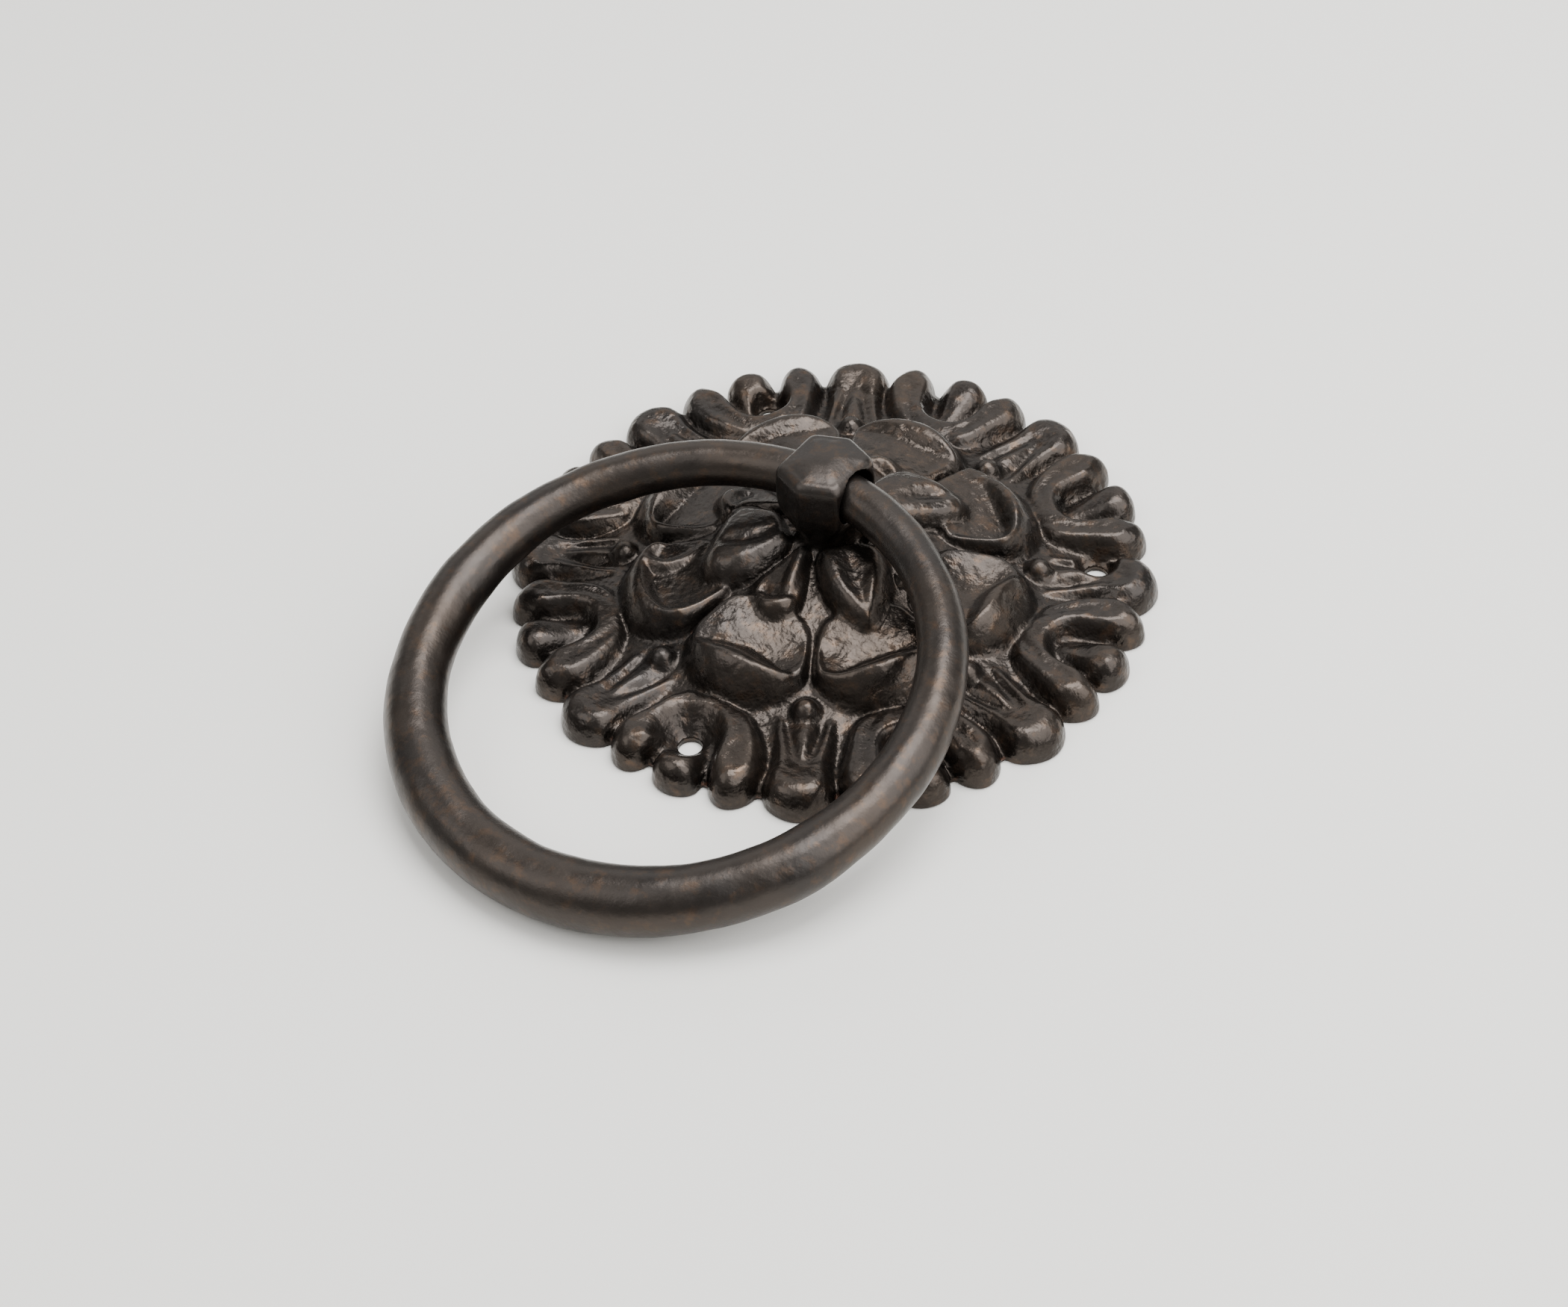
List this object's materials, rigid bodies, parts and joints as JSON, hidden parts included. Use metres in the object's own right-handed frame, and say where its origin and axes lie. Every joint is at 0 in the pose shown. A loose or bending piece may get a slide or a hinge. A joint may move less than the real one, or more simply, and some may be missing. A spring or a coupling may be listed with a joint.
{
  "type": "door knocker",
  "caption": "Ring door knocker: a heavy tapered ring hangs from a hexagonal eye stud on a round cast rosette of layered leaves.",
  "frame": {"origin": "where the eye stud's axis meets the plane of the rosette's back face", "axes": "+Z out of the door along the eye stud, +Y up the door, the ring hangs towards -Y and its hinge lies along X"},
  "size_m": [0.1696, 0.2231, 0.0438],
  "materials": {
    "dark_bronze": "oil-rubbed dark bronze, satin, as cast",
    "zinc_steel": "zinc-plated, dull"
  },
  "bodies": {
    "backplate": {"rosette_plate": "dark_bronze", "eye_stud": "dark_bronze", "washer": "zinc_steel", "spring_washer": "zinc_steel", "hex_nut": "zinc_steel"},
    "ring": {"knocker_ring": "dark_bronze", "ring_dowel": "zinc_steel"}
  },
  "joints": [
    {"name": "ring_swing", "type": "hinge", "parent": "backplate", "child": "ring", "pos_m": [0, 0, 0.0343], "axis": [-1, 0, 0], "range_deg": [0, 157.4]}
  ]
}
